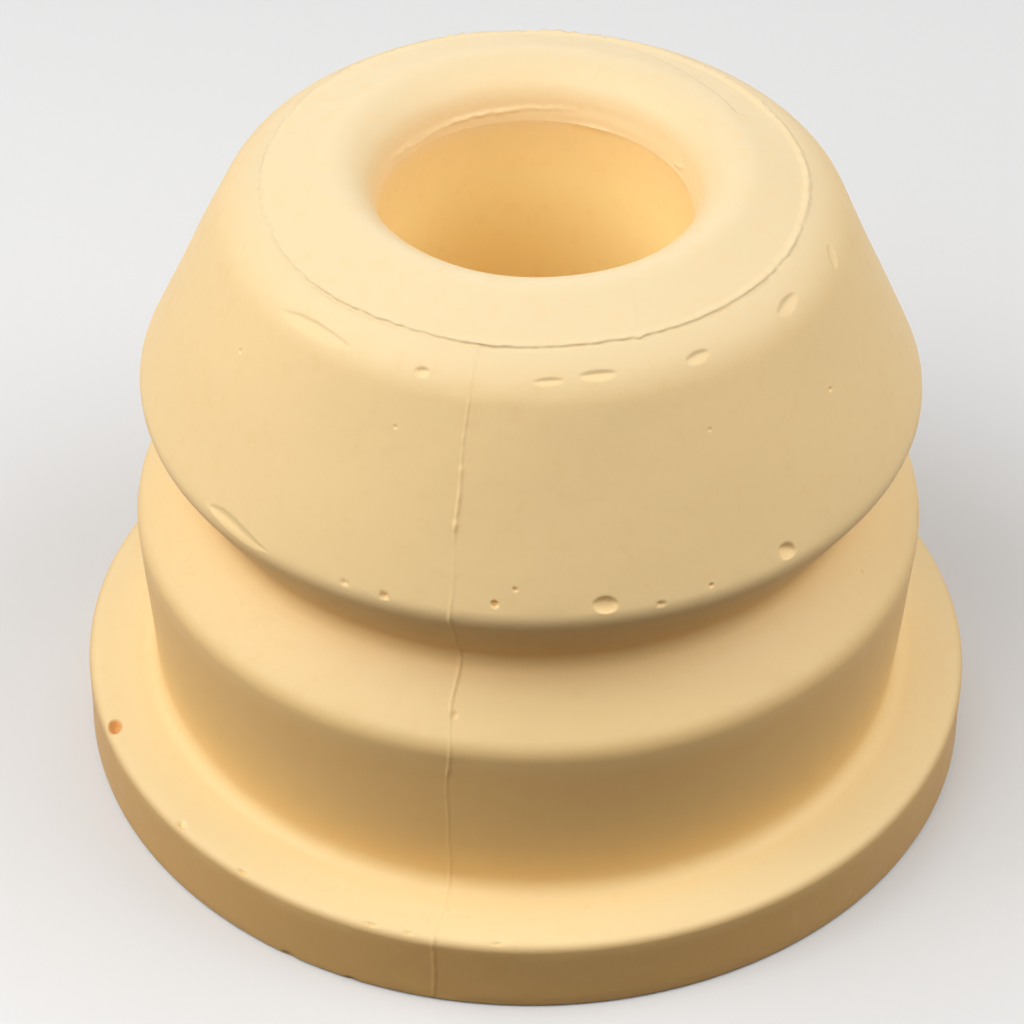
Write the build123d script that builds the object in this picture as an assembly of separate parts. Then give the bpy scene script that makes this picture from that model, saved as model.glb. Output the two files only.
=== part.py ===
from build123d import *
import os
from math import atan2, cos, degrees, radians, sin, tan

# Rubber spring mount: one moulding in cellular polyurethane, round about +Z.
# Sizes are in millimetres. The origin is the centre of the foot, and the nose points up.
# Each diameter of the outline is that of a sharp corner, which its radius then rounds.

# Flange, on which the mount stands
flange_diameter = 80.0
flange_thickness = 7.25
flange_edge_radius = 0.8
foot_edge_radius = 0.4

# Lower bulge, on a neck that leans in a little towards the flange
lower_bulge_diameter = 69.4
neck_height = 17.0
neck_inset = 1.1
neck_fillet = 1.5
lower_bulge_radius = 2.45

# Groove, into which the two bulges fold when the mount is squeezed
groove_depth = 4.9
groove_lower_rise = 5.35
groove_upper_rise = 7.75
groove_radius = 1.5

# Upper bulge, and the cone that narrows from it to the nose
upper_bulge_diameter = 67.7
upper_bulge_radius = 2.15
cone_rise = 18.65
nose_diameter = 50.6
nose_radius = 6.2

# Through bore, with a rolled mouth that ends in a crease at the bore's wall.
# From the top of the roll, the nose falls away outward at the crown's slope.
bore_diameter = 26.3
mouth_radius = 4.1
mouth_sweep = 96.0
crown_slope = 15.0
bore_foot_radius = 0.8

# Lip of flash left on the nose where the top of the mould met its sides, leaning outward
lip_turn = 17.0
lip_height = 0.2
lip_overhang = 0.15
lip_root = 0.5
lip_sink = 0.1

# Seams, two thin ribs left down the outside where the sides of the mould met
seam_height = 0.15
seam_spread = 0.6
seam_bearing = -100.3
seam_count = 2

# Radii of the outline's corners
flange_r = flange_diameter / 2
lower_bulge_r = lower_bulge_diameter / 2
neck_r = lower_bulge_r - neck_inset
upper_bulge_r = upper_bulge_diameter / 2
groove_r = upper_bulge_r - groove_depth
nose_r = nose_diameter / 2
bore_r = bore_diameter / 2
mouth_r = bore_r + mouth_radius * sin(radians(mouth_sweep))

# Heights above the foot, stacked from the flange up to the crown, the top of the mouth's roll
lower_bulge_height = flange_thickness + neck_height
groove_height = lower_bulge_height + groove_lower_rise
upper_bulge_height = groove_height + groove_upper_rise
nose_height = upper_bulge_height + cone_rise
slope_rise = (nose_r - mouth_r) * tan(radians(crown_slope))
crown_height = nose_height + slope_rise - mouth_radius * (1 / cos(radians(crown_slope)) - 1)


def bore_mouth():
    """The mouth's arc, from the crown's slope round over its top to the crease at the bore's wall."""
    centre = (mouth_r, crown_height - mouth_radius)
    return CenterArc(centre, mouth_radius, 90 - crown_slope, crown_slope + mouth_sweep)


def outline(start, crease):
    """The rest of the half section's edge: nose, bulges, flange, foot and bore, to the crease."""
    corners_and_radii = [
        ((nose_r, nose_height), nose_radius),
        ((upper_bulge_r, upper_bulge_height), upper_bulge_radius),
        ((groove_r, groove_height), groove_radius),
        ((lower_bulge_r, lower_bulge_height), lower_bulge_radius),
        ((neck_r, flange_thickness), neck_fillet),
        ((flange_r, flange_thickness), flange_edge_radius),
        ((flange_r, 0), foot_edge_radius),
        ((bore_r, 0), bore_foot_radius),
    ]
    corners = [corner for corner, radius in corners_and_radii]
    radii = [radius for corner, radius in corners_and_radii]
    return FilletPolyline(start, *corners, crease, radius=radii)


def half_section():
    """Half of the section through the axis, as a face."""
    mouth = bore_mouth()
    return make_face([mouth, outline(mouth @ 0, mouth @ 1)])


def upright(turn):
    """Direction square to a surface that slopes down outward by this many degrees."""
    return Vector(sin(radians(turn)), cos(radians(turn)))


def downhill(turn):
    """Direction down a surface that slopes down outward by this many degrees."""
    return Vector(cos(radians(turn)), -sin(radians(turn)))


def lip_foot():
    """Point of the nose's round from which the lip stands up."""
    cone_turn = degrees(atan2(cone_rise, upper_bulge_r - nose_r))
    reach = nose_radius * tan(radians(cone_turn - crown_slope) / 2)
    round_start = Vector(nose_r, nose_height) - reach * downhill(crown_slope)
    return round_start + nose_radius * (upright(lip_turn) - upright(crown_slope))


def lip():
    """Section of the lip: long and gentle on its inner side, steep and overhanging on its outer side."""
    foot = lip_foot()
    sunk_foot = foot - lip_sink * upright(lip_turn)
    edge = foot + lip_height * upright(lip_turn) + lip_overhang * downhill(lip_turn)
    return make_face(Polyline(sunk_foot - lip_root * downhill(lip_turn), edge, sunk_foot, close=True))


def turned_body():
    """The body with its lip, turned about the axis."""
    return revolve(Plane.XZ * (half_section() + lip()), axis=Axis.Z)


def seam():
    """One seam: a narrow wedge of the body, a little proud of it from the lip down to the foot."""
    proud_section = offset(half_section(), amount=seam_height)
    outer_side = Pos(lip_foot().X, 0) * Rectangle(flange_r, nose_height, align=Align.MIN)
    wedge = revolve(Plane.XZ * (proud_section & outer_side), axis=Axis.Z, revolution_arc=seam_spread)
    return Rot(Z=seam_bearing - seam_spread / 2) * wedge


def spring_mount_body():
    """The whole moulding: the turned body and its seams, spaced evenly around it."""
    seams = [Rot(Z=turn * 360 / seam_count) * seam() for turn in range(seam_count)]
    return turned_body() + seams


os.makedirs("parts", exist_ok=True)
export_step(spring_mount_body(), "parts/spring_mount_body.step")
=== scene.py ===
from math import atan2, cos, pi, radians, sin, tan

import bpy
import numpy as np
from mathutils import Matrix, Vector


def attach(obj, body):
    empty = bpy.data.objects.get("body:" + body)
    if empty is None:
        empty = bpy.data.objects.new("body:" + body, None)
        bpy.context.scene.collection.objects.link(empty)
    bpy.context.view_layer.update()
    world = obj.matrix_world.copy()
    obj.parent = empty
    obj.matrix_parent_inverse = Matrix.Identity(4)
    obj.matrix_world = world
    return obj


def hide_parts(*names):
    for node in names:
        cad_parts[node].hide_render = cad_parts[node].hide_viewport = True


# Rubber spring mount: one cream moulding on a pale floor under soft light.
# The shape is worked out in millimetres and built in metres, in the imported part's frame.
# A bearing is in degrees to the right of the front, seen from above the nose.
# An along is in millimetres down the outline, from the crease at the mouth of the bore.
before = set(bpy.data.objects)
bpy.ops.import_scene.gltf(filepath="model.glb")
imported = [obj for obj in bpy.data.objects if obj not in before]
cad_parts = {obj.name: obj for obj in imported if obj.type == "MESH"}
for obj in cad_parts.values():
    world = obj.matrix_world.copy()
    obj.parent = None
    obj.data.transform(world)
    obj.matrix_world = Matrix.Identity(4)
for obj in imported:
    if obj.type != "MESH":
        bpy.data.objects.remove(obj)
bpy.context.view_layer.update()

MM = 0.001

# Corners of the turned outline, as radius and height, each with the radius that rounds it
NOSE = (25.3, 56.0), 6.2
UPPER_BULGE = (33.85, 37.35), 2.15
GROOVE = (28.95, 29.6), 1.5
LOWER_BULGE = (34.7, 24.25), 2.45
NECK_FOOT = (33.6, 7.25), 1.5
FLANGE_EDGE = (39.98, 7.25), 0.8
FOOT_EDGE = (39.98, 0.0), 0.4
BORE_FOOT = (13.15, 0.0), 0.8

# Length of the bore's straight wall, from its foot's round up to the crease
BORE_WALL = 52.69

# Rolled mouth of the bore, and the slope that falls away outward from the crown, the top of its roll
MOUTH_RADIUS = 4.1
MOUTH_SWEEP = 96.0
CROWN_SLOPE = 15.0
MOUTH_R = BORE_FOOT[0][0] + MOUTH_RADIUS * sin(radians(MOUTH_SWEEP))
SLOPE_RISE = (NOSE[0][0] - MOUTH_R) * tan(radians(CROWN_SLOPE))
CROWN_HEIGHT = NOSE[0][1] + SLOPE_RISE - MOUTH_RADIUS * (1 / cos(radians(CROWN_SLOPE)) - 1)

# How far the bore's core stood aside in the mould at the mouth, to the right and to the back
CORE_SHIFT = np.array([0.19, 0.45])

# The body is a flat sheet of cells wrapped round the axis and the outline.
# A cell's side is counted in steps, of which the sheet has COLUMNS round the axis and
# STEPS_PER_ROW in each row of the outline. FINE_STEP is the length of a step, in millimetres,
# below which a dent's cells may be two steps wide.
COLUMNS = 1920
STEPS_PER_ROW = 8
OUTSIDE_CELL = 8
HIDDEN_CELL = 16
CELL_GROWTH_PER_MM = 4.5
FINE_STEP = 0.09

# Bearings of the seams, where the two sides of the mould met, and how far they wander aside
FRONT_SEAM = -10.4
BACK_SEAM = FRONT_SEAM + 180
SEAM_WANDER = 0.07

# Step between the two sides of the mould: its height, and how far it reaches to each side of a seam
SEAM_STEP = 0.012
SEAM_STEP_REACH = 3.0

# Flash of the seams: the along where it starts, how far its pattern is moved down the back seam,
# and the pattern itself, as along, height and half width
SEAM_TOP = 12.65
BACK_SEAM_SHIFT = 9.0
SEAM_FLASH = [
    (12.7, 0.02, 0.12), (17.0, 0.02, 0.12), (17.6, 0.08, 0.08), (22.4, 0.06, 0.08), (22.9, 0.13, 0.13),
    (23.6, 0.10, 0.12), (25.8, 0.15, 0.13), (26.8, 0.12, 0.12), (27.3, 0.26, 0.16), (28.0, 0.07, 0.12),
    (29.0, 0.02, 0.12), (33.1, 0.03, 0.12), (34.5, 0.12, 0.12), (36.5, 0.04, 0.12), (42.5, 0.04, 0.12),
    (44.5, 0.12, 0.13), (46.5, 0.13, 0.13), (48.1, 0.08, 0.13), (48.7, 0.17, 0.15), (49.3, 0.05, 0.12),
    (50.6, 0.03, 0.12), (52.0, 0.12, 0.10), (54.5, 0.14, 0.10), (55.3, 0.05, 0.12), (67.3, 0.06, 0.12),
    (70.8, 0.04, 0.12), (72.2, 0.02, 0.12), (74.0, 0.10, 0.14), (80.9, 0.09, 0.14), (81.4, 0.0, 0.14),
]

# Slight waviness of the skin: how many waves it has, their size, and how far they lie below the outline
SWAY_WAVES = 18
SWAY_SIZE = 0.012
SWAY_SINK = 0.05

# Ring of flash on the nose, where the top of the mould met its sides, at bearings round it:
# shift down the outline, height, overhang, width of its outer side, and depth of the nick beside it
RING_ALONG = 12.5
RING_INNER_WIDTH = 0.28
RING_NICK_PLACE = 0.28
RING_NICK_WIDTH = 0.19
RING_FLASH = [
    (-180, 0.0, 0.17, 0.32, 0.10, 0.05),
    (-125, 0.0, 0.16, 0.30, 0.10, 0.05),
    (-105, -0.3, 0.14, 0.05, 0.25, 0.0),
    (-75, -0.3, 0.11, 0.0, 0.25, 0.0),
    (-62, -0.1, 0.11, 0.07, 0.13, 0.07),
    (-40, 0.0, 0.16, 0.15, 0.12, 0.11),
    (0, 0.0, 0.12, 0.12, 0.12, 0.10),
    (40, 0.0, 0.14, 0.14, 0.12, 0.10),
    (60, -0.1, 0.14, 0.12, 0.16, 0.06),
    (78, -0.2, 0.14, 0.03, 0.26, 0.0),
    (115, -0.2, 0.14, 0.03, 0.26, 0.0),
    (130, -0.1, 0.13, 0.08, 0.16, 0.02),
    (150, 0.0, 0.17, 0.28, 0.10, 0.05),
    (180, 0.0, 0.17, 0.32, 0.10, 0.05),
]

# Notches where the ring runs aside: bearing, millimetres up the nose, and half width in degrees
RING_NOTCHES = [(-69.5, 0.25, 1.2), (21.5, -0.2, 0.9)]

# How deep the skin lies under the roll of the mouth, just above the crease
MOUTH_CHAMFER = [(0.0, 0.0), (1.35, 0.20), (1.7, 0.18), (3.3, 0.0)]

# Skirt of flash round the back of the mouth, at bearings behind it: its place and height.
# The two widths are those of its sides above and below its edge.
SKIRT_WIDTHS = 0.22, 0.17
SKIRT = [
    (-196, 1.25, 0.0), (-191, 1.25, 0.05), (-185, 1.20, 0.07), (-179, 1.15, 0.08), (-165, 0.98, 0.11),
    (-150, 0.98, 0.12), (-141, 0.85, 0.05), (-131, 0.60, 0.04), (-119, 0.85, 0.05), (-112, 0.95, 0.0),
]

# Lip of flash on the crease itself, at bearings behind it
LIP_WIDTH = 0.15
LIP_HEIGHTS = [
    (-275, 0.0), (-265, 0.05), (-250, 0.06), (-240, 0.08), (-225, 0.03), (-210, 0.05), (-203, 0.12),
    (-196, 0.07), (-190, 0.02), (-150, 0.01), (-110, 0.0),
]

# Sunken patch at the back right of the nose: the along of its inner edge at each bearing
PATCH_EDGE = [
    (114.0, 12.1), (115.1, 10.7), (117.1, 8.5), (124.6, 8.8), (134.6, 9.0), (144.3, 9.8), (151.4, 10.5),
    (158.7, 11.0), (166.9, 11.8),
]
PATCH_DEPTH = 0.09

# Faint flow line at the left of the mouth, a furrow, and the short ridges that run outward over the nose
FLOW_HEIGHT = 0.03
FLOW_LINE = [(-71.5, 7.17), (-61.4, 7.11), (-51.2, 7.12), (-47.5, 7.17), (-34.1, 7.0)]
SPOKES = [
    [(6.7, 24.6), (12.2, 21.6)],
    [(7.9, -113.3), (12.4, -118.4)],
    [(8.0, 87.0), (8.3, 95.1)],
]

# Laps, where the rubber folded over itself: depth, share of the width that slopes down from the
# upper edge, then bearing, upper edge and lower edge at places along each
NOSE_LAP = 0.17, 0.25, [
    (-51.0, 15.9, 16.0), (-50.0, 15.75, 16.4), (-46.8, 15.2, 16.6), (-42.5, 14.97, 16.5),
    (-38.0, 15.15, 16.4), (-35.2, 15.4, 16.2), (-33.3, 15.7, 15.8),
]
BULGE_LAP = 0.45, 0.62, [
    (-51.3, 34.15, 34.2), (-50.2, 33.6, 34.45), (-48.2, 33.25, 34.7), (-45.7, 33.3, 34.9),
    (-42.7, 33.66, 35.0), (-40.7, 34.0, 34.95), (-38.3, 34.4, 34.45),
]

# Dents left by bubbles, nicks in the flange's edges, and two specks of flash, which stand up:
# bearing, along, length, width, depth, turn and lean. Turn lowers a dent's right end, in degrees.
# A dent that leans has a steep upper edge and a gentle lower one.
DENTS = [
    (-19.3, 15.8, 1.1, 0.9, 0.22, -12, 0.8),
    (3.1, 15.55, 2.3, 0.7, 0.15, -3, 1.0),
    (12.0, 15.3, 2.9, 0.95, 0.22, 1, 1.0),
    (30.9, 15.6, 2.1, 1.15, 0.22, -6, 0.9),
    (53.9, 15.4, 2.8, 1.4, 0.22, -8, 0.9),
    (72.6, 15.9, 2.3, 1.2, 0.16, -42, 0.6),
    (-69.8, 15.4, 1.6, 0.7, 0.06, 60, 0.6),
    (-25.7, 34.2, 0.5, 0.45, 0.28, 0, 0.3),
    (-19.7, 34.3, 0.6, 0.5, 0.52, 0, 0.3),
    (-4.3, 33.5, 0.6, 0.6, 0.55, 0, 0.4),
    (-1.6, 32.2, 0.35, 0.35, 0.30, 0, 0.2),
    (10.8, 33.74, 2.0, 1.45, 0.48, 7, 0.5),
    (18.5, 34.4, 0.5, 0.45, 0.42, 0, 0.3),
    (26.1, 33.9, 0.35, 0.35, 0.30, 0, 0.2),
    (38.85, 33.62, 1.7, 1.45, 0.45, 20, 0.7),
    (56.5, 23.9, 0.4, 0.35, 0.22, 0, 0.3),
    (-56.5, 21.3, 0.4, 0.35, 0.20, 0, 0.3),
    (-22.2, 20.6, 0.35, 0.3, 0.12, 0, 0.3),
    (30.2, 21.5, 0.35, 0.3, 0.12, 0, 0.3),
    (63.2, 47.9, 0.4, 0.4, 0.20, 0, 0.3),
    (-10.0, 48.9, 0.5, 0.7, 0.12, 0, 0.3),
    (-24.7, 70.8, 0.45, 0.45, 0.10, 0, 0.3),
    (-48.1, 73.7, 0.8, 0.7, 0.45, 0, 0.3),
    (-36.8, 73.9, 0.8, 0.6, 0.40, 0, 0.3),
    (-18.4, 73.8, 0.8, 0.5, 0.30, 0, 0.3),
    (-13.8, 73.8, 0.6, 0.5, 0.32, 0, 0.3),
    (-4.9, 73.6, 0.5, 0.4, 0.12, 0, 0.3),
    (-2.8, 73.8, 0.6, 0.5, 0.28, 0, 0.3),
    (-9.5, 70.4, 0.4, 0.4, 0.10, 0, 0.3),
    (-32.3, 69.0, 0.4, 0.4, 0.10, 0, 0.3),
    (-29.5, 80.9, 1.3, 0.6, 0.25, 0, 0.0),
    (-21.0, 81.0, 0.9, 0.5, 0.20, 0, 0.0),
    (115.0, 0.65, 1.9, 0.45, -0.12, -20, 0.0),
    (87.0, 1.55, 3.4, 0.4, -0.10, -16, 0.0),
]

# Chip in the flange's top, with a stained floor
CHIP = (-68.5, 73.3, 1.8, 1.3, 0.45, 20, 0.4)

# Colour of the skin at places down the outline, as along, red, green and blue: the moulding's cream with
# light and shade painted in, a paler painted highlight where it looks up, painted light that makes the bore
# golden, and painted shade that makes the groove and the neck amber and the rim tan
SKIN_WITH_PAINTED_LIGHT = [
    (0.0, 0.93, 0.71, 0.39),
    (6.0, 0.82, 0.655, 0.395),
    (13.0, 0.82, 0.65, 0.385),
    (17.5, 0.975, 0.705, 0.347),
    (34.6, 0.975, 0.705, 0.347),
    (35.7, 0.955, 0.62, 0.27),
    (37.0, 0.95, 0.595, 0.24),
    (43.5, 0.95, 0.595, 0.24),
    (46.5, 0.95, 0.68, 0.325),
    (50.8, 0.95, 0.69, 0.335),
    (52.3, 0.94, 0.62, 0.26),
    (55.0, 0.925, 0.565, 0.21),
    (66.0, 0.93, 0.605, 0.235),
    (70.5, 0.925, 0.73, 0.395),
    (73.5, 0.925, 0.73, 0.395),
    (75.0, 0.78, 0.455, 0.155),
    (81.5, 0.78, 0.455, 0.155),
    (109.0, 0.99, 0.83, 0.385),
    (155.0, 0.985, 0.80, 0.385),
    (161.0, 0.95, 0.70, 0.325),
]

# Colours of the skin's mottles and of the chip's floor
MOTTLE = (0.91, 0.60, 0.27, 1)
STAIN = (0.70, 0.30, 0.07, 1)

# Soft boxes, alike but for name, bearing, elevation and watts, all turned to a point on the axis, in metres
LAMP_DISTANCE = 0.40
LAMP_SIZE = 0.30
LAMP_AIM_HEIGHT = 0.03
LAMPS = [
    ("front_left_box", -45, 48, 0.80),
    ("left_box", -90, 48, 0.60),
    ("low_left_box", -90, 25, 0.29),
    ("front_right_box", 45, 48, 0.29),
    ("right_box", 90, 48, 0.54),
    ("low_right_box", 90, 25, 0.31),
    ("back_box", 180, 25, 0.34),
]

# Even light from all round the mount, and how often light is thrown on from skin to skin
LOW_LIGHT = (1.0, 0.97, 0.92, 1)
LOW_LIGHT_STRENGTH = 0.04
LIGHT_BOUNCES = 12

# Backdrop and floor to the eye, and the floor's colour in the light that it throws on the mount
BACKDROP = (0.80, 0.80, 0.80, 1)
FLOOR_BOUNCE = (0.03, 0.03, 0.03, 1)

# Half the floor's side, and where the floor begins to turn into the backdrop and has done so, in metres
FLOOR_HALF = 3.0
FLOOR_FADE = 0.11, 0.30

# Camera, at the photograph's viewing angle
CAMERA_DISTANCE = 0.30076
CAMERA_AIM_HEIGHT = 0.024
CAMERA_ELEVATION = 39.5
CAMERA_TURN = -0.357
CAMERA_TILT = 0.461
CAMERA_ROLL = -0.779
CAMERA_LENS = 119.31


# Outline of the turned body

def rounded_corner(before, corner, after, radius):
    """Arc that rounds a corner: its centre, the direction to its first point, and its sweep."""
    coming = np.subtract(corner, before) / np.linalg.norm(np.subtract(corner, before))
    going = np.subtract(after, corner) / np.linalg.norm(np.subtract(after, corner))
    sweep = atan2(coming[0] * going[1] - coming[1] * going[0], float(coming @ going))
    side = 1 if sweep < 0 else -1
    to_start = side * np.array([-coming[1], coming[0]])
    start = np.asarray(corner) - coming * radius * tan(abs(sweep) / 2)
    return start - to_start * radius, atan2(to_start[1], to_start[0]), sweep


def on_circle(centre, radius, turn):
    """Point of a circle in the half section."""
    return np.array([centre[0] + radius * np.cos(turn), centre[1] + radius * np.sin(turn)])


def round_points(centre, radius, first, sweep, rows):
    """Points along an arc, a step apart, without its last one."""
    steps = rows * STEPS_PER_ROW
    return on_circle(centre, radius, first + sweep * np.arange(steps) / steps).T


def run_points(start, end, rows):
    """Points along a straight run, a step apart, without its last one."""
    steps = rows * STEPS_PER_ROW
    share = np.arange(steps)[:, None] / steps
    return np.asarray(start) * (1 - share) + np.asarray(end) * share


def outline_points():
    """Points of the closed outline, a step apart, from the crease up over the nose and back up the bore."""
    mouth_centre = (MOUTH_R, CROWN_HEIGHT - MOUTH_RADIUS)
    mouth_turn = radians(90 + MOUTH_SWEEP)
    crease = on_circle(mouth_centre, MOUTH_RADIUS, mouth_turn)
    slope_top = on_circle(mouth_centre, MOUTH_RADIUS, radians(90 - CROWN_SLOPE))

    corners = [NOSE, UPPER_BULGE, GROOVE, LOWER_BULGE, NECK_FOOT, FLANGE_EDGE, FOOT_EDGE, BORE_FOOT]
    run_rows = [8, 18, 7, 6, 14, 5, 6, 20, 36]
    round_rows = [13, 5, 6, 5, 6, 5, 4, 4]
    mouth_rows = 14

    places = [slope_top] + [corner for corner, _ in corners] + [crease]
    mouth_sweep = -radians(MOUTH_SWEEP + CROWN_SLOPE)
    parts = [round_points(mouth_centre, MOUTH_RADIUS, mouth_turn, mouth_sweep, mouth_rows)]
    here = slope_top
    for index, (corner, radius) in enumerate(corners):
        centre, first, sweep = rounded_corner(places[index], corner, places[index + 2], radius)
        parts.append(run_points(here, on_circle(centre, radius, first), run_rows[index]))
        parts.append(round_points(centre, radius, first, sweep, round_rows[index]))
        here = on_circle(centre, radius, first + sweep)
    parts.append(run_points(here, crease, run_rows[-1]))
    return np.concatenate(parts)


OUTLINE = outline_points()
STEPS = len(OUTLINE)
FORWARD = np.roll(OUTLINE, -1, axis=0) - OUTLINE
STEP_LENGTH = np.linalg.norm(FORWARD, axis=1)
ALONG = np.cumsum(STEP_LENGTH) - STEP_LENGTH
LENGTH_ROUND = float(STEP_LENGTH.sum())
RIM_FOOT_ALONG = float(ALONG[np.argmax(OUTLINE[:, 1] < 0.001)])
BORE_FOOT_ALONG = LENGTH_ROUND - BORE_WALL
TANGENT = np.roll(OUTLINE, -1, axis=0) - np.roll(OUTLINE, 1, axis=0)
TANGENT /= np.linalg.norm(TANGENT, axis=1)[:, None]


# Unevenness

def turn_apart(bearing, other):
    """Degrees from another bearing to this one, the short way round."""
    return (bearing - other + 180) % 360 - 180


def table(place, rows, column=1):
    """Value at a place in one column of a table, on a straight line between its rows."""
    return np.interp(place, [row[0] for row in rows], [row[column] for row in rows])


def ripple(place, length, waves, seed):
    """Uneven line of about unit size that repeats after a length, with so many waves in it."""
    random = np.random.RandomState(seed)
    counts = np.arange(*waves)
    total = np.zeros_like(place, dtype=float)
    for count in counts:
        total += random.uniform(0.5, 1.0) * np.sin(2 * pi * (count * place / length + random.uniform()))
    return total / np.sqrt(len(counts) * 0.29)


def bump(distance, width):
    """Rounded rise, 1 in its middle."""
    return np.exp(-(distance / width) ** 2)


def ease(share):
    """0 below 0, 1 above 1, and smooth between."""
    share = np.clip(share, 0, 1)
    return share * share * (3 - 2 * share)


def core_share(along):
    """Share of the core's shift: all of it on the mouth, fading out over the nose and down the bore."""
    on_nose = ease((RING_ALONG - 0.5 - along) / 5)
    in_bore = np.clip((along - BORE_FOOT_ALONG) / (LENGTH_ROUND - BORE_FOOT_ALONG), 0, 1)
    return np.maximum(on_nose, in_bore)


def sway(bearing, along):
    """Slight waviness of the whole skin, never above it, and none inside the bore or under the foot."""
    random = np.random.RandomState(7)
    total = np.zeros_like(bearing)
    for _ in range(SWAY_WAVES):
        round_turns = random.randint(1, 9)
        down_turns = random.randint(1, 14)
        shift = random.uniform(0, 1, 2)
        total += (np.sin(2 * pi * (round_turns * bearing / 360 + shift[0]))
                  * np.sin(2 * pi * (down_turns * along / LENGTH_ROUND + shift[1])))
    outside = ease((along - 1) / 4) * ease((RIM_FOOT_ALONG - 0.5 - along) / 3)
    return outside * (SWAY_SIZE * total - SWAY_SINK)


# Marks of the mould

def across_spoke(bearing, along, path):
    """Millimetres to the right of a line that runs down the outline, given as its bearing at each along."""
    radius = np.interp(along, ALONG, OUTLINE[:, 0])
    return np.radians(turn_apart(bearing, table(along, path))) * radius


def across_seam(bearing, along, seam):
    """Millimetres to the right of a seam, which wanders a little."""
    seed = 87 if seam == FRONT_SEAM else 72
    wander = SEAM_WANDER * ripple(along, LENGTH_ROUND, (4, 26), seed)
    radius = np.interp(along, ALONG, OUTLINE[:, 0])
    return np.radians(turn_apart(bearing, seam)) * radius - wander


def seam_relief(bearing, along, seam):
    """Thin ragged flash down a seam, and the small step between the two sides of the mould."""
    across = across_seam(bearing, along, seam)
    on_seam = ease((along - SEAM_TOP) / 0.3) * ease((RIM_FOOT_ALONG - 0.5 - along) / 0.4)
    shift = 0 if seam == FRONT_SEAM else BACK_SEAM_SHIFT
    place = SEAM_TOP + (along - SEAM_TOP + shift) % (RIM_FOOT_ALONG - SEAM_TOP)
    ragged = 1 + 0.18 * ripple(along, LENGTH_ROUND, (60, 140), 11)
    flash = table(place, SEAM_FLASH) * ragged * bump(across, table(place, SEAM_FLASH, 2))
    step = -SEAM_STEP * np.tanh(across / 0.12) * bump(across, SEAM_STEP_REACH)
    return on_seam * (flash + step)


def past_ring(bearing, along):
    """Millimetres past the ring of flash, down the outline."""
    wander = 0.05 * ripple(bearing, 360, (2, 12), 3) + 0.02 * ripple(bearing, 360, (30, 90), 4)
    notch = sum(shift * bump(turn_apart(bearing, middle), width) for middle, shift, width in RING_NOTCHES)
    return along - RING_ALONG - table(turn_apart(bearing, 0), RING_FLASH) - wander + notch


def ring_relief(bearing, along):
    """Lip of flash round the nose: its rise from the skin, and how far its edge hangs over, outward."""
    past = past_ring(bearing, along)
    columns = [table(turn_apart(bearing, 0), RING_FLASH, column) for column in (2, 3, 4, 5)]
    height, overhang, outer_width, nick = columns
    ragged = 1 + 0.20 * ripple(bearing, 360, (70, 150), 5) + 0.15 * ripple(bearing, 360, (8, 30), 6)
    lip = np.where(past < 0, bump(past, RING_INNER_WIDTH), bump(past, outer_width))
    sunk = nick * bump(past - RING_NICK_PLACE, RING_NICK_WIDTH)
    return height * ragged * lip - sunk, overhang * ragged * lip


def behind(bearing):
    """Bearing counted from the back, so that it runs on without a break there."""
    return -180 + turn_apart(bearing, 180)


def past_skirt(bearing, along):
    """Millimetres past the skirt of flash in the mouth, up the wall."""
    return along - table(behind(bearing), SKIRT) - 0.03 * ripple(bearing, 360, (20, 60), 8)


def mouth_relief(bearing, along):
    """The mouth just above the crease: its chamfer, the skirt of flash on it, and the lip on the crease."""
    past = past_skirt(bearing, along)
    ragged = 1 + 0.2 * ripple(bearing, 360, (30, 90), 9)
    above, below = SKIRT_WIDTHS
    skirt = table(behind(bearing), SKIRT, 2) * np.where(past > 0, bump(past, above), bump(past, below))
    from_crease = np.minimum(along, LENGTH_ROUND - along)
    lip = table(behind(bearing), LIP_HEIGHTS) * bump(from_crease, LIP_WIDTH)
    return (skirt + lip) * ragged - table(along, MOUTH_CHAMFER)


def patch_relief(bearing, along):
    """Shallow sunken patch between its inner edge and the ring."""
    start, end = PATCH_EDGE[0][0], PATCH_EDGE[-1][0]
    inside = ease((along - table(bearing, PATCH_EDGE)) / 0.25) * ease((RING_ALONG - 0.35 - along) / 0.3)
    ends = ease((bearing - start) / 1.0) * ease((end - bearing) / 4.0)
    uneven = 0.75 + 0.25 * ripple(bearing, 360, (10, 40), 12)
    return -PATCH_DEPTH * inside * ends * uneven


def flow_relief(bearing, along):
    """Faint flow lines on the nose."""
    start, end = FLOW_LINE[0][0], FLOW_LINE[-1][0]
    ends = ease((bearing - start) / 6) * ease((end - bearing) / 6)
    total = -FLOW_HEIGHT * ends * bump(along - table(bearing, FLOW_LINE), 0.22)
    for path in SPOKES:
        first, last = path[0][0], path[-1][0]
        ends = ease((along - first) / 0.4) * ease((last - along) / 0.3)
        total += FLOW_HEIGHT * ends * bump(across_spoke(bearing, along, path), 0.2)
    return total


# Laps and dents

def ramp(share, steep_share):
    """Depth, from 0 to 1, of a floor that drops at its upper edge and climbs gently to its lower one."""
    return ease(share / steep_share) * np.clip(1 - share, 0, 1)


def beside_lap(bearing, along, lap):
    """Place down a lap, as a share of its width there, and that width as a share of the widest."""
    rows = lap[2]
    upper, lower = table(bearing, rows, 1), table(bearing, rows, 2)
    widest = max(row[2] - row[1] for row in rows)
    inside = (bearing > rows[0][0]) & (bearing < rows[-1][0])
    return (along - upper) / (lower - upper), inside * (lower - upper) / widest


def lap_relief(bearing, along, lap):
    """One lap, as deep as it is wide there."""
    share, width = beside_lap(bearing, along, lap)
    return -lap[0] * width * ramp(share, lap[1])


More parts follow.
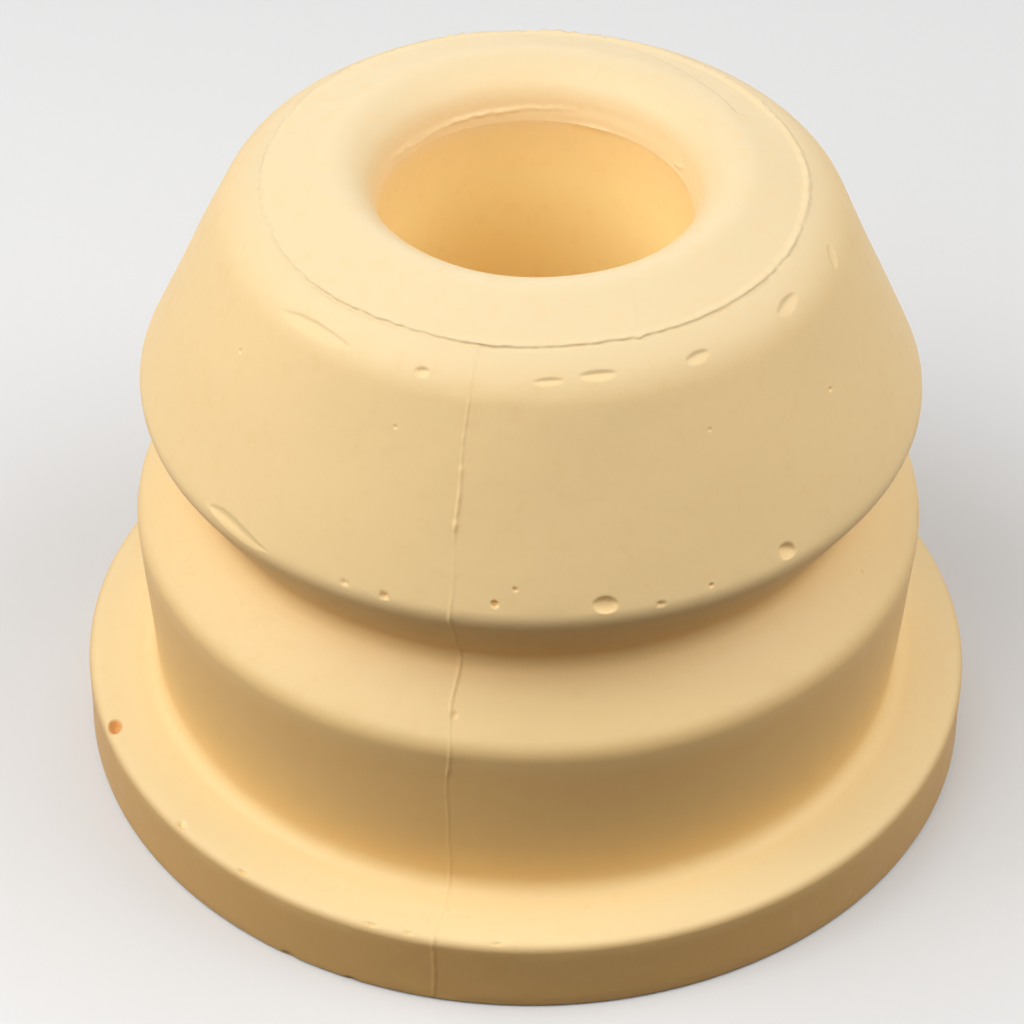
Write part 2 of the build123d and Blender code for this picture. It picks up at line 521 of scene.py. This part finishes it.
def beside_dent(bearing, along, dent):
    """Place in a dent, as shares of its half length and half width, and its distance outside the dent."""
    middle, middle_along, length, width, _, turn, _ = dent
    radius = np.interp(middle_along, ALONG, OUTLINE[:, 0])
    right = np.radians(turn_apart(bearing, middle)) * radius
    down = along - middle_along
    turned = radians(turn)
    lengthwise = (right * cos(turned) + down * sin(turned)) / (length / 2)
    crosswise = (down * cos(turned) - right * sin(turned)) / (width / 2)
    out = np.hypot(lengthwise, crosswise)
    return lengthwise, crosswise, out, (out - 1) * width / 2


def dent_relief(bearing, along, dent):
    """One dent: a round bowl, or as far as it leans, a ramp that is deepest under its upper edge."""
    depth, lean = dent[4], dent[6]
    lengthwise, crosswise, out, _ = beside_dent(bearing, along, dent)
    bowl = np.clip(1 - out ** 2, 0, None) ** 0.7
    half_chord = np.sqrt(np.clip(1 - lengthwise ** 2, 1e-6, None))
    leaning = half_chord * ramp((crosswise / half_chord + 1) / 2, 0.4) * 1.6
    return -depth * ((1 - lean) * bowl + lean * leaning)


def stain(bearing, along):
    """How stained the skin is, from 0 to 1: in the chip and a little round it."""
    _, _, out, _ = beside_dent(bearing, along, CHIP)
    return ease((1.25 - out) / 0.5)


# Sheet of cells

def cell_limit(bearing, along):
    """How large a cell may be at a place, in steps: small on the marks, and larger away from them."""
    limit = np.full_like(bearing, OUTSIDE_CELL)
    limit[(along > RIM_FOOT_ALONG + 1) & (along < LENGTH_ROUND - 8)] = HIDDEN_CELL

    def near(distance, finest, where=True):
        """Asks for cells this fine on a mark, and larger ones further from its edge."""
        grown = finest + CELL_GROWTH_PER_MM * np.clip(distance, 0, None)
        np.minimum(limit, np.where(where, grown, limit), out=limit)

    on_seam = (along > SEAM_TOP - 1) & (along < RIM_FOOT_ALONG + 0.4)
    near(np.abs(across_seam(bearing, along, FRONT_SEAM)) - 0.35, 1, on_seam)
    near(np.abs(across_seam(bearing, along, BACK_SEAM)) - 0.3, 2, on_seam)
    near(np.abs(past_ring(bearing, along) + 0.05) - 0.4, 2)
    near(np.abs(along - 1.5) - 0.5, 4)
    on_skirt = table(behind(bearing), SKIRT, 2) > 0
    near(np.abs(past_skirt(bearing, along)) - 0.25, 2, on_skirt)
    on_lip = table(behind(bearing), LIP_HEIGHTS) > 0.02
    near(np.minimum(along, LENGTH_ROUND - along) - 0.15, 2, on_lip)
    on_patch = (bearing > PATCH_EDGE[0][0] - 1) & (bearing < PATCH_EDGE[-1][0])
    near(np.abs(along - table(bearing, PATCH_EDGE)) - 0.15, 2, on_patch)
    on_flow = (bearing > FLOW_LINE[0][0]) & (bearing < FLOW_LINE[-1][0])
    near(np.abs(along - table(bearing, FLOW_LINE)) - 0.15, 2, on_flow)
    for path in SPOKES:
        on_spoke = (along > path[0][0]) & (along < path[-1][0])
        near(np.abs(across_spoke(bearing, along, path)) - 0.15, 2, on_spoke)
    for lap in (NOSE_LAP, BULGE_LAP):
        share, width = beside_lap(bearing, along, lap)
        out = (np.abs(share - 0.5) - 0.5) * width
        near(out, 2 if lap is NOSE_LAP else 1, width > 0)
    for dent in DENTS + [CHIP]:
        step_there = np.interp(dent[1], ALONG, STEP_LENGTH)
        near(beside_dent(bearing, along, dent)[3], 2 if step_there < FINE_STEP else 1)
    return limit


def place_of(column, step):
    """Bearing and along of places on the sheet, given in steps."""
    bearing = turn_apart(360 * np.asarray(column) / COLUMNS, 0)
    along = np.interp(np.asarray(step) % STEPS, np.arange(STEPS + 1), np.append(ALONG, LENGTH_ROUND))
    return bearing, along


def sheet_cells():
    """Cells of the sheet, as column, step and side, each quartered until it is as small as asked there."""
    side = HIDDEN_CELL
    columns, steps = np.meshgrid(np.arange(0, COLUMNS, side), np.arange(0, STEPS, side))
    waiting = np.stack([columns.ravel(), steps.ravel()], axis=1)
    done = []
    while side > 1:
        bearing, along = place_of(waiting[:, 0] + side / 2, waiting[:, 1] + side / 2)
        fits = cell_limit(bearing, along) >= side
        done.append(np.column_stack([waiting[fits], np.full(fits.sum(), side)]))
        side //= 2
        quarters = [waiting[~fits] + np.array([right, down]) for right in (0, side) for down in (0, side)]
        waiting = np.concatenate(quarters)
    done.append(np.column_stack([waiting, np.ones(len(waiting), int)]))
    return np.concatenate(done)


def cell_border(column, step, side, used):
    """Corners of a cell, in turn, with the corners that smaller cells beside it have on its edges."""
    last_column, last_step = column + side, step + side
    border = []
    border += [(column, place) for place in range(step, last_step)]
    border += [(place, last_step) for place in range(column, last_column)]
    border += [(last_column, place) for place in range(last_step, step, -1)]
    border += [(place, step) for place in range(last_column, column, -1)]
    border = [(right % COLUMNS, down % STEPS) for right, down in border]
    return [place for place in border if used[place]]


def sheet_faces():
    """Corners of the sheet, in steps, and its faces: squares, and fans of triangles beside smaller cells."""
    cells = sheet_cells()
    used = np.zeros((COLUMNS, STEPS), bool)
    for right in (0, 1):
        for down in (0, 1):
            column = (cells[:, 0] + right * cells[:, 2]) % COLUMNS
            step = (cells[:, 1] + down * cells[:, 2]) % STEPS
            used[column, step] = True

    faces = []
    middles = []
    for column, step, side in cells.tolist():
        border = cell_border(column, step, side, used)
        if len(border) == 4:
            faces.append(border)
            continue
        middle = (column + side // 2, step + side // 2)
        middles.append(middle)
        faces += [[middle, border[index - 1], border[index]] for index in range(len(border))]
    for column, step in middles:
        used[column, step] = True
    corners = np.argwhere(used)
    number = np.full(used.shape, -1)
    number[corners[:, 0], corners[:, 1]] = np.arange(len(corners))
    return corners, [[int(number[place]) for place in face] for face in faces]


# Objects

def skin_places(corners):
    """Where the corners of the sheet lie on the body, in metres."""
    bearing, along = place_of(corners[:, 0], corners[:, 1])
    rise, overhang = ring_relief(bearing, along)
    rise += sway(bearing, along) + mouth_relief(bearing, along) + patch_relief(bearing, along)
    rise += flow_relief(bearing, along)
    rise += seam_relief(bearing, along, FRONT_SEAM) + seam_relief(bearing, along, BACK_SEAM)
    rise += lap_relief(bearing, along, NOSE_LAP) + lap_relief(bearing, along, BULGE_LAP)
    for dent in DENTS + [CHIP]:
        rise += dent_relief(bearing, along, dent)

    tangent = TANGENT[corners[:, 1]]
    normal = np.stack([-tangent[:, 1], tangent[:, 0]], axis=1)
    section = OUTLINE[corners[:, 1]] + normal * rise[:, None] + tangent * overhang[:, None]
    section[:, 1] = np.clip(section[:, 1], 0, CROWN_HEIGHT)
    turn = np.radians(bearing)
    places = np.stack([section[:, 0] * np.sin(turn), -section[:, 0] * np.cos(turn), section[:, 1]], axis=1)
    places[:, :2] += CORE_SHIFT * core_share(along)[:, None]
    return places * MM


def skin_colours_with_painted_light(corners):
    """Colour of the skin at each corner of the sheet, with painted highlight and shade down the outline, and
    how stained it is.
    """
    bearing, along = place_of(corners[:, 0], corners[:, 1])
    channels = [table(along, SKIN_WITH_PAINTED_LIGHT, channel) for channel in (1, 2, 3)]
    return np.stack(channels + [np.ones_like(along)], axis=1), stain(bearing, along)


def make_body():
    """The mount's skin, as one closed mesh."""
    corners, faces = sheet_faces()
    mesh = bpy.data.meshes.new("mount_body")
    mesh.from_pydata(skin_places(corners).tolist(), [], faces)
    mesh.shade_smooth()
    colours, stained = skin_colours_with_painted_light(corners)
    # The skin attribute holds the colour with painted highlight and painted shade down the outline.
    mesh.attributes.new("skin", "FLOAT_COLOR", "POINT").data.foreach_set("color", colours.ravel())
    mesh.attributes.new("stain", "FLOAT", "POINT").data.foreach_set("value", stained)

    on_crease = corners[:, 1] == 0
    sharp = mesh.attributes.new("sharp_edge", "BOOLEAN", "EDGE")
    ends = np.zeros(len(mesh.edges) * 2, int)
    mesh.edges.foreach_get("vertices", ends)
    sharp.data.foreach_set("value", on_crease[ends.reshape(-1, 2)].all(axis=1))

    body = bpy.data.objects.new("mount_body", mesh)
    bpy.context.scene.collection.objects.link(body)
    return body


def make_floor():
    """Wide plain floor."""
    mesh = bpy.data.meshes.new("floor")
    low, high = -FLOOR_HALF, FLOOR_HALF
    mesh.from_pydata([(low, low, 0), (high, low, 0), (high, high, 0), (low, high, 0)], [], [(0, 1, 2, 3)])
    floor = bpy.data.objects.new("floor", mesh)
    bpy.context.scene.collection.objects.link(floor)
    return floor


# Materials

def set_input(tree, socket, value):
    """Sets a node's input to a number or colour, or links it to another node's output."""
    if isinstance(value, bpy.types.NodeSocket):
        tree.links.new(value, socket)
    else:
        socket.default_value = value


def add_node(tree, kind, **inputs):
    """A shader node with its inputs set by name."""
    node = tree.nodes.new(kind)
    for name, value in inputs.items():
        set_input(tree, node.inputs[name.replace("_", " ")], value)
    return node


def add_mix(tree, share, first, second):
    """Colour between two colours."""
    mix = tree.nodes.new("ShaderNodeMix")
    mix.data_type = "RGBA"
    for number, value in ((0, share), (6, first), (7, second)):
        set_input(tree, mix.inputs[number], value)
    return mix.outputs[2]


def add_shader_mix(tree, share, first, second):
    """Shader between two shaders."""
    mix = tree.nodes.new("ShaderNodeMixShader")
    for number, value in enumerate((share, first, second)):
        set_input(tree, mix.inputs[number], value)
    return mix.outputs[0]


def add_math(tree, operation, first, second):
    """Result of an operation on two values."""
    node = tree.nodes.new("ShaderNodeMath")
    node.operation = operation
    set_input(tree, node.inputs[0], first)
    set_input(tree, node.inputs[1], second)
    return node.outputs[0]


def add_range(tree, value, low, high, to_low, to_high):
    """A value spread from one range to another."""
    node = add_node(tree, "ShaderNodeMapRange", Value=value, From_Min=low, From_Max=high,
                    To_Min=to_low, To_Max=to_high)
    return node.outputs["Result"]


def add_noise(tree, place, scale, detail):
    """Noise at a scale, in features per metre."""
    return add_node(tree, "ShaderNodeTexNoise", Vector=place, Scale=scale, Detail=detail).outputs["Fac"]


def add_attribute(tree, name):
    """Node that reads an attribute of the mesh."""
    node = tree.nodes.new("ShaderNodeAttribute")
    node.attribute_name = name
    return node


def rubber_material():
    """Cream moulding skin: satin, softly mottled, with a fine grain, and painted highlight and shade in its
    colour.
    """
    material = bpy.data.materials.new("cream_rubber")
    material.use_nodes = True
    tree = material.node_tree
    shader = tree.nodes["Principled BSDF"]
    place = tree.nodes.new("ShaderNodeTexCoord").outputs["Object"]

    broad = add_noise(tree, place, 45, 3)
    fine = add_noise(tree, place, 700, 4)
    # The skin attribute's colour carries a painted highlight on the up-facing tops, painted light in the
    # bore, and painted shade in the groove, on the neck and on the rim.
    skin = add_attribute(tree, "skin").outputs["Color"]
    skin = add_mix(tree, add_range(tree, broad, 0.35, 0.65, 0, 0.06), skin, MOTTLE)
    skin = add_mix(tree, add_range(tree, fine, 0.55, 0.8, 0, 0.3), skin, MOTTLE)
    stained = add_attribute(tree, "stain").outputs["Fac"]
    ragged = add_math(tree, "MULTIPLY", stained, add_range(tree, fine, 0.3, 0.6, 0.6, 1.0))
    tree.links.new(add_mix(tree, ragged, skin, STAIN), shader.inputs["Base Color"])
    tree.links.new(add_range(tree, fine, 0.3, 0.7, 0.42, 0.55), shader.inputs["Roughness"])
    shader.inputs["Specular IOR Level"].default_value = 0.3

    grain = add_noise(tree, place, 2600, 2)
    orange_peel = add_noise(tree, place, 420, 2)
    small = add_node(tree, "ShaderNodeBump", Strength=0.12, Distance=0.00008, Height=grain)
    large = add_node(tree, "ShaderNodeBump", Strength=0.25, Distance=0.0002, Height=orange_peel,
                     Normal=small.outputs["Normal"])
    tree.links.new(large.outputs["Normal"], shader.inputs["Normal"])
    return material


def seen_directly(tree):
    """1 for a ray that shows what it meets to the eye, gloss and glass included, and 0 for a bounce."""
    path = tree.nodes.new("ShaderNodeLightPath")
    total = path.outputs["Is Camera Ray"]
    for name in ("Is Glossy Ray", "Is Transmission Ray"):
        total = add_math(tree, "MAXIMUM", total, path.outputs[name])
    return total


def floor_material():
    """Pale matt floor, which throws little light on the mount and turns into the backdrop further out."""
    material = bpy.data.materials.new("floor")
    material.use_nodes = True
    tree = material.node_tree
    shader = tree.nodes["Principled BSDF"]
    shader.inputs["Roughness"].default_value = 0.9
    shader.inputs["Specular IOR Level"].default_value = 0.1
    seen = seen_directly(tree)
    tree.links.new(add_mix(tree, seen, FLOOR_BOUNCE, BACKDROP), shader.inputs["Base Color"])

    away = tree.nodes.new("ShaderNodeVectorMath")
    away.operation = "LENGTH"
    tree.links.new(tree.nodes.new("ShaderNodeTexCoord").outputs["Object"], away.inputs[0])
    fade = add_node(tree, "ShaderNodeMapRange", Value=away.outputs["Value"],
                    From_Min=FLOOR_FADE[0], From_Max=FLOOR_FADE[1])
    fade.interpolation_type = "SMOOTHSTEP"
    backdrop = add_node(tree, "ShaderNodeEmission", Color=BACKDROP, Strength=seen)
    mixed = add_shader_mix(tree, fade.outputs["Result"], shader.outputs[0], backdrop.outputs[0])
    tree.links.new(mixed, tree.nodes["Material Output"].inputs["Surface"])
    material.cycles.emission_sampling = "NONE"
    return material


def set_world():
    """Pale backdrop to the eye, and a low even light on the mount."""
    world = bpy.data.worlds.new("studio")
    world.use_nodes = True
    bpy.context.scene.world = world
    tree = world.node_tree
    tree.nodes.clear()
    low = add_node(tree, "ShaderNodeBackground", Color=LOW_LIGHT, Strength=LOW_LIGHT_STRENGTH)
    pale = add_node(tree, "ShaderNodeBackground", Color=BACKDROP, Strength=1.0)
    mixed = add_shader_mix(tree, seen_directly(tree), low.outputs[0], pale.outputs[0])
    add_node(tree, "ShaderNodeOutputWorld", Surface=mixed)


# Light and camera

def add_lamp(name, bearing, elevation, watts):
    """Square soft box that faces the mount, and isn't seen itself."""
    turn, rise = radians(bearing), radians(elevation)
    away = Vector((sin(turn) * cos(rise), -cos(turn) * cos(rise), sin(rise)))
    data = bpy.data.lights.new(name, "AREA")
    data.size = LAMP_SIZE
    data.energy = watts
    lamp = bpy.data.objects.new(name, data)
    lamp.location = Vector((0, 0, LAMP_AIM_HEIGHT)) + away * LAMP_DISTANCE
    lamp.rotation_mode = "QUATERNION"
    lamp.rotation_quaternion = away.to_track_quat("Z", "Y")
    lamp.visible_camera = False
    bpy.context.scene.collection.objects.link(lamp)


def add_camera():
    """Camera at the photograph's viewing angle."""
    rise = radians(CAMERA_ELEVATION)
    data = bpy.data.cameras.new("camera")
    data.lens = CAMERA_LENS
    data.clip_start = 0.01
    camera = bpy.data.objects.new("camera", data)
    place = Vector((0, -CAMERA_DISTANCE * cos(rise), CAMERA_AIM_HEIGHT + CAMERA_DISTANCE * sin(rise)))
    turn = Matrix.Rotation(-radians(CAMERA_TURN), 4, "Z")
    tilt = Matrix.Rotation(pi / 2 - rise - radians(CAMERA_TILT), 4, "X")
    roll = Matrix.Rotation(-radians(CAMERA_ROLL), 4, "Z")
    camera.matrix_world = Matrix.Translation(place) @ turn @ tilt @ roll
    bpy.context.scene.collection.objects.link(camera)
    bpy.context.scene.camera = camera


body = make_body()
body.data.materials.append(rubber_material())
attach(body, "root")
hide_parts("spring_mount_body")

floor = make_floor()
floor.data.materials.append(floor_material())

set_world()
for lamp in LAMPS:
    add_lamp(*lamp)
add_camera()
bpy.context.scene.view_settings.view_transform = "Standard"
bpy.context.scene.cycles.diffuse_bounces = LIGHT_BOUNCES
